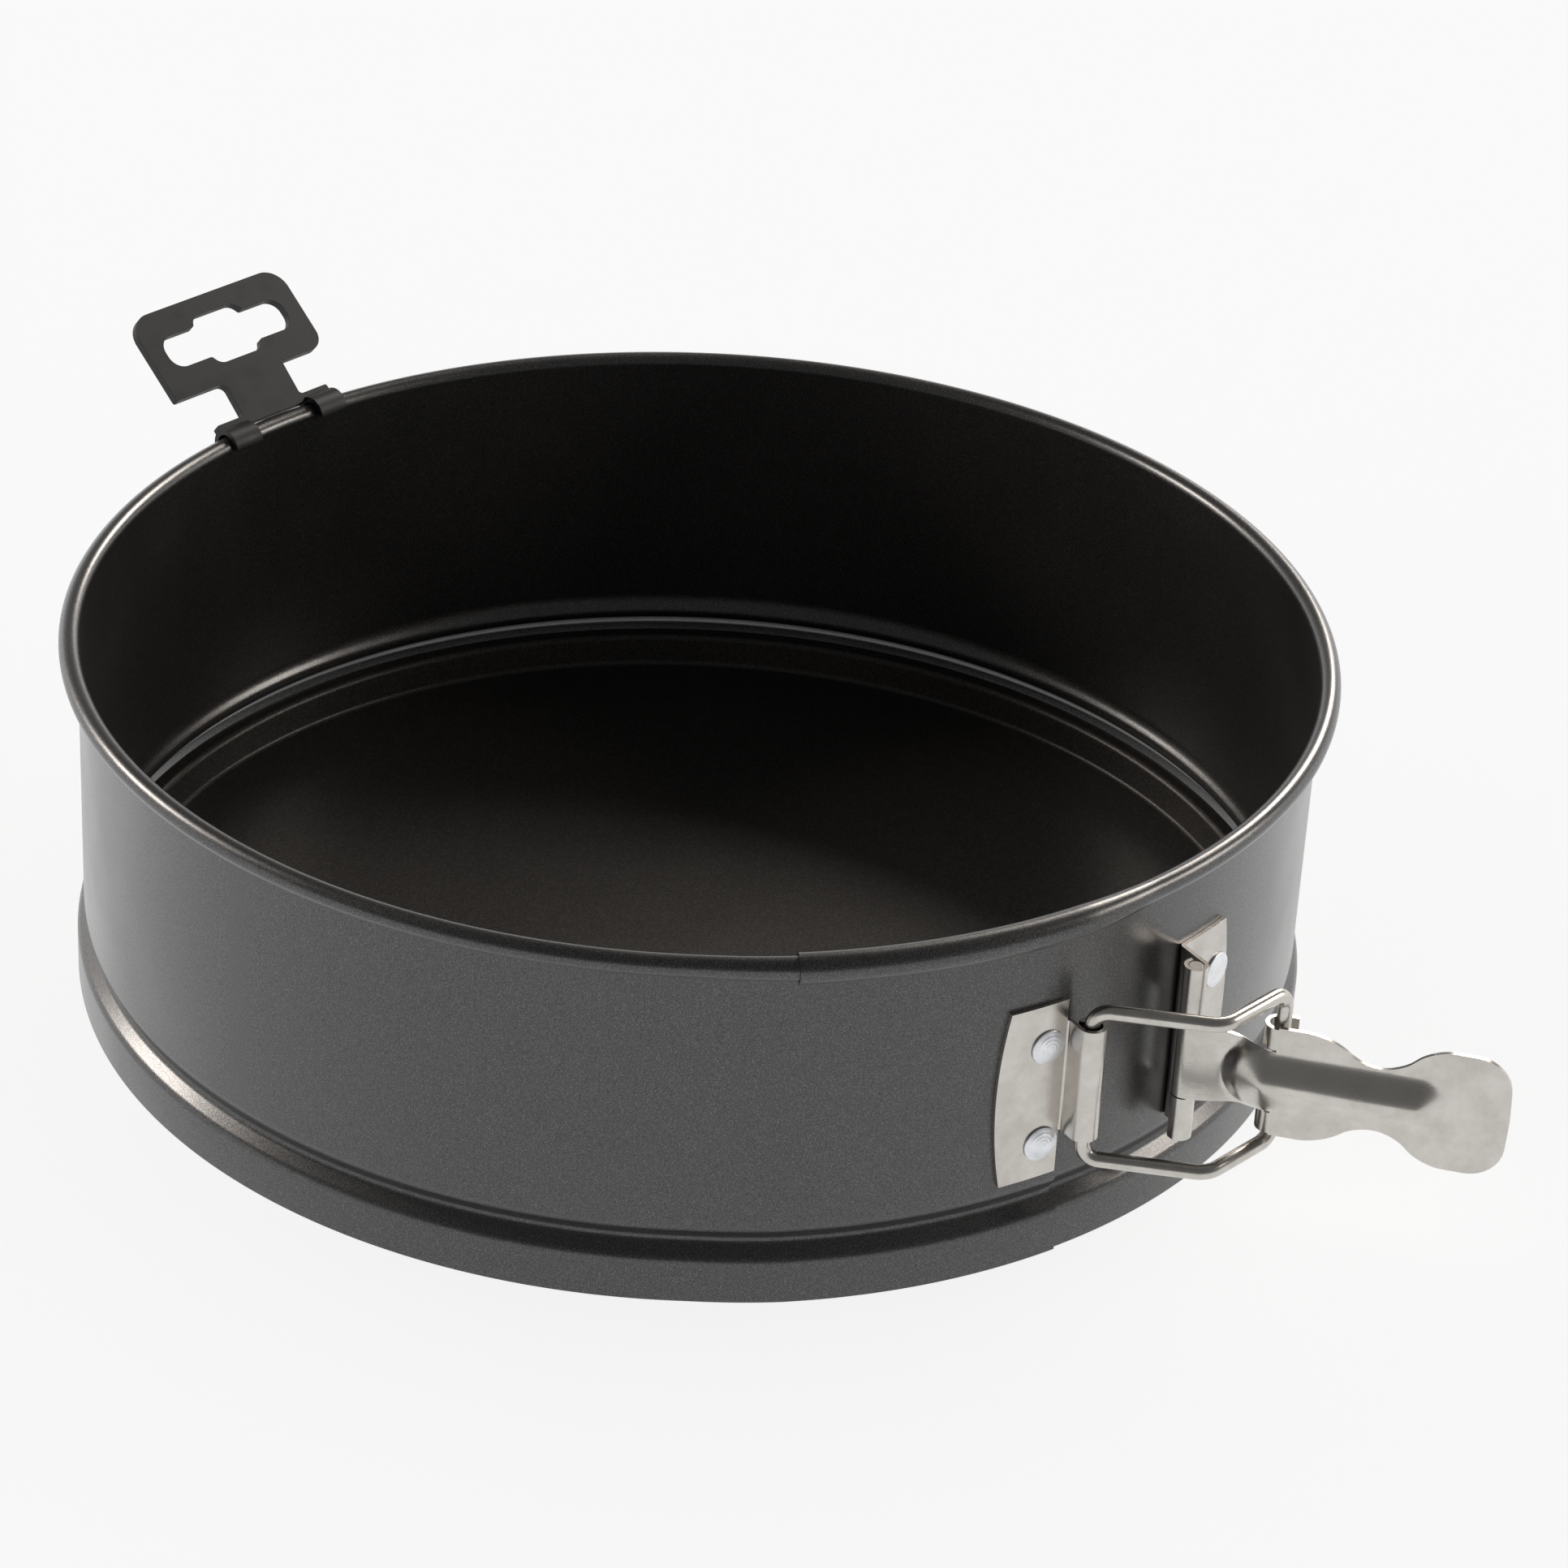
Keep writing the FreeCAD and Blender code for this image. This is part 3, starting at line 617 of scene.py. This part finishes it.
def addRivet(values, node, name, body, angle, height, seat, tail):
    # the section is drawn along +X, then spun about X and turned to its place
    bm = bmesh.new()
    count = values["rings"] * 4
    outline = [(tail, 0, 0), (tail, 0, values["shank"])]
    if tail < values["wallFace"]:  # clenched inside the wall
        inner = tail - values["tailDepth"]
        outline = [
            (inner, 0, 0), (inner + values["tailCrown"], 0, values["clench"]),
            (tail, 0, values["clench"]), (tail, 0, values["shank"]),
        ]
    outline.append((seat, 0, values["shank"]))
    outline += [(seat, 0, values["head"]), (seat + values["rim"], 0, values["head"])]
    edge = len(outline) - 1
    for i in range(count - 1, -1, -1):
        share = i / count
        wave = math.cos(math.tau * share * values["rings"])
        ring = values["ringDepth"] * wave * (1 - share) ** 0.5
        crown = values["rim"] + values["dome"] * (1 - share ** 2) - ring
        outline.append((seat + crown, 0, values["head"] * share * 0.97))
    verts = startChain(bm, outline)
    roundCorner(bm, verts[edge], values["rimRound"], 3)
    bmesh.ops.spin(
        bm, geom=bm.verts[:] + bm.edges[:], cent=(0, 0, 0), axis=(1, 0, 0),
        angle=math.tau, steps=values["steps"], use_merge=True,
    )
    bmesh.ops.remove_doubles(bm, verts=bm.verts[:], dist=values["weld"] * mm)
    bmesh.ops.recalc_face_normals(bm, faces=bm.faces[:])
    turn = Matrix.Rotation(math.radians(angle), 4, "Z")
    bmesh.ops.transform(
        bm, matrix=Matrix.Translation((0, 0, height * mm)) @ turn, verts=bm.verts[:],
    )
    mesh = finishMesh(bm, name, 50)
    addPiece(name, mesh, rivetMetal, body, [node])


for node, values in rivetShape["places"].items():
    addRivet(rivetShape, node, *values)
print("rivets made")


# lever: one stamped strip with a rolled root, a raised rib and two hooked ears
leverSet = {
    "pinRadius": 126.4,      # the pin stands at this radius and angle round the pan
    "pinAngle": -90.9,
    "pinHeight": 35.25,
    "turn": -61.0,
    "gauge": 0.8,
    "eye": 1.86,             # middle of the rolled root
    "bladeDepth": 4.1,       # the blade stands this far in front of the pin
    "stepFrom": 11.0,
    "stepTo": 16.0,
    # half height along the tongue and the blade: (place, half height, corner rounding)
    "tongue": [(0, 8.35, 0), (3.0, 8.35, 2.0), (13.5, 6.302, 2.0), (16.55, 6.302, 0)],
    "tongueRows": 26,
    "blade": [
        (16.55, 11.15, 0), (16.65, 11.4, 0), (16.9, 11.5, 0), (26.5, 11.5, 4.5), (32.0, 6.6, 3.5),
        (39.0, 6.6, 3.5), (44.6, 12.4, 4.0), (59.1, 12.4, 6.5), (59.6, 0.4, 0),
    ],
    "bladeRows": 46,
    "ribFrom": 15.0,         # ends of the rib's crest
    "ribTo": 42.5,
    "ribHalf": 5.0,
    "ribRise": 2.75,
    "rootDrop": 1.8,
    "crestSoft": 0.9,
    "footSoft": 0.45,
    "hookCentre": (16.55, -1.6),
    "hookEnd": 19.6,
    "earLow": 6.6,           # the ears start above this half height
    "rootEnd": 3.0,
    "rootSteps": 30,
    "hookSteps": 18,
    "longest": 0.7,          # longest edge along the outline
    "seamWeld": 0.01,
    "weld": 0.004,
    "edge": 0.12,
    "sharp": 60,
}


def smoothStep(low, high, x):
    t = max(0.0, min(1.0, (x - low) / (high - low)))
    return t * t * (3 - 2 * t)


def bladeDepth(values, x, z):
    # how far the sheet's middle stands in front of the pin: the stepped strip and the rib's roof
    step = smoothStep(values["stepFrom"], values["stepTo"], x)
    strip = values["eye"] + (values["bladeDepth"] - values["eye"]) * step
    beyond = max(values["ribFrom"] - x, 0, x - values["ribTo"])
    soft = values["crestSoft"]
    share = math.hypot(beyond, z, soft) / values["ribHalf"] - soft / values["ribHalf"]
    drop = 1 - share if share < 1 else (1 - share) * values["rootDrop"]
    roof = values["bladeDepth"] + values["ribRise"] * drop
    blend = values["footSoft"]
    return (strip + roof + math.hypot(strip - roof, blend)) / 2 - blend * 0.12


def stripMesh(outline, rows, longest):
    # the upper outline is rounded, divided and mirrored below, and the strip between filled with rows
    bm = bmesh.new()
    chain = startChain(bm, [(x, 0, h) for x, h, _ in outline])
    for vert, (_, _, size) in zip(chain, outline):
        if size:
            roundCorner(bm, vert, size, 8)
    for edge in bm.edges[:]:
        cuts = int(edge.calc_length() / (longest * mm))
        if cuts:
            bmesh.ops.subdivide_edges(bm, edges=[edge], cuts=cuts)
    made = bmesh.ops.extrude_edge_only(bm, edges=bm.edges[:])
    lowerVerts = [g for g in made["geom"] if isinstance(g, bmesh.types.BMVert)]
    bmesh.ops.scale(bm, vec=(1, 1, -1), verts=lowerVerts)
    across = [e for e in bm.edges if abs(e.verts[0].co.x - e.verts[1].co.x) < 1e-7
              and e.verts[0].co.z * e.verts[1].co.z < 0]
    bmesh.ops.subdivide_edges(bm, edges=across, cuts=rows - 1, use_grid_fill=True)
    mesh = bpy.data.meshes.new("strip")
    bm.to_mesh(mesh)
    bm.free()
    return mesh


def addLever(values):
    bm = bmesh.new()
    for part in ("tongue", "blade"):
        strip = stripMesh(values[part], values[part + "Rows"], values["longest"])
        bm.from_mesh(strip)
        bpy.data.meshes.remove(strip)
    bmesh.ops.remove_doubles(bm, verts=bm.verts[:], dist=values["seamWeld"] * mm)
    for vert in bm.verts:
        vert.co.y = -bladeDepth(values, vert.co.x / mm, vert.co.z / mm) * mm
    # root: rolled round the pin
    for vert in bm.verts:
        if vert.co.x < values["rootEnd"] * mm:
            vert.co.y = -values["eye"] * mm
    rootEdges = [e for e in bm.edges if e.verts[0].co.x < 1e-6 and e.verts[1].co.x < 1e-6]
    rootVerts = list({v for e in rootEdges for v in e.verts})
    bmesh.ops.spin(
        bm, geom=rootVerts + rootEdges, cent=(0, 0, 0), axis=(0, 0, 1),
        angle=math.radians(-270), steps=values["rootSteps"], use_duplicate=False,
    )
    # ears: curled back round the bail's end wire, then straight towards the tip
    hookX, hookY = values["hookCentre"]
    for side in (1, -1):
        ear = [e for e in bm.edges if e.is_boundary and all(
            abs(v.co.x - hookX * mm) < values["weld"] * mm and side * v.co.z > values["earLow"] * mm
            for v in e.verts)]
        earVerts = list({v for e in ear for v in e.verts})
        made = bmesh.ops.spin(
            bm, geom=earVerts + ear, cent=(hookX * mm, hookY * mm, 0), axis=(0, 0, 1),
            angle=math.radians(-180), steps=values["hookSteps"], use_duplicate=False,
        )
        tail = [g for g in made["geom_last"] if isinstance(g, bmesh.types.BMEdge)]
        made = bmesh.ops.extrude_edge_only(bm, edges=tail)
        ends = [g for g in made["geom"] if isinstance(g, bmesh.types.BMVert)]
        bmesh.ops.translate(bm, verts=ends, vec=((values["hookEnd"] - hookX) * mm, 0, 0))
    bmesh.ops.remove_doubles(bm, verts=bm.verts[:], dist=values["weld"] * mm)
    bmesh.ops.recalc_face_normals(bm, faces=bm.faces[:])
    around = math.radians(values["pinAngle"])
    pin = Vector((math.cos(around), math.sin(around), 0)) * values["pinRadius"]
    pin.z = values["pinHeight"]
    place = Matrix.Translation(pin * mm)
    turn = Matrix.Rotation(math.radians(values["turn"]), 4, "Z")
    bmesh.ops.transform(bm, matrix=place @ turn, verts=bm.verts[:])
    mesh = finishMesh(bm, "leverPlate", values["sharp"])
    lever = addPiece("leverPlate", mesh, nickel, "lever", ["lever"])
    addSheet(lever, values["gauge"])
    breakEdges(lever, values["edge"], values["sharp"])


addLever(leverSet)
print("lever made")


def addFloor():
    bm = bmesh.new()
    bmesh.ops.create_grid(bm, x_segments=8, y_segments=8, size=lightSet["floorHalf"])
    mesh = bpy.data.meshes.new("studioFloor")
    bm.to_mesh(mesh)
    bm.free()
    floor = bpy.data.objects.new("studioFloor", mesh)
    bpy.context.scene.collection.objects.link(floor)
    floor.location.z = -lightSet["floorDrop"]
    material, nodes, links, shader = newMaterial("studioFloor")
    shader.inputs["Base Color"].default_value = (*lightSet["floorColor"], 1)
    shader.inputs["Roughness"].default_value = lightSet["floorRoughness"]
    shader.inputs["Specular IOR Level"].default_value = 0
    shader.inputs["Emission Color"].default_value = (*lightSet["floorColor"], 1)
    shader.inputs["Emission Strength"].default_value = lightSet["floorGlow"]
    mesh.materials.append(material)


addFloor()


def lightPanOnly(lamps):
    # the lamps only light the pan, so the floor stays even
    litPieces = bpy.data.collections.new("litPieces")
    for piece in bpy.data.objects:
        if piece.type == "MESH" and piece.name != "studioFloor":
            litPieces.objects.link(piece)
    for lamp in lamps:
        lamp.light_linking.receiver_collection = litPieces


lightPanOnly(lamps)
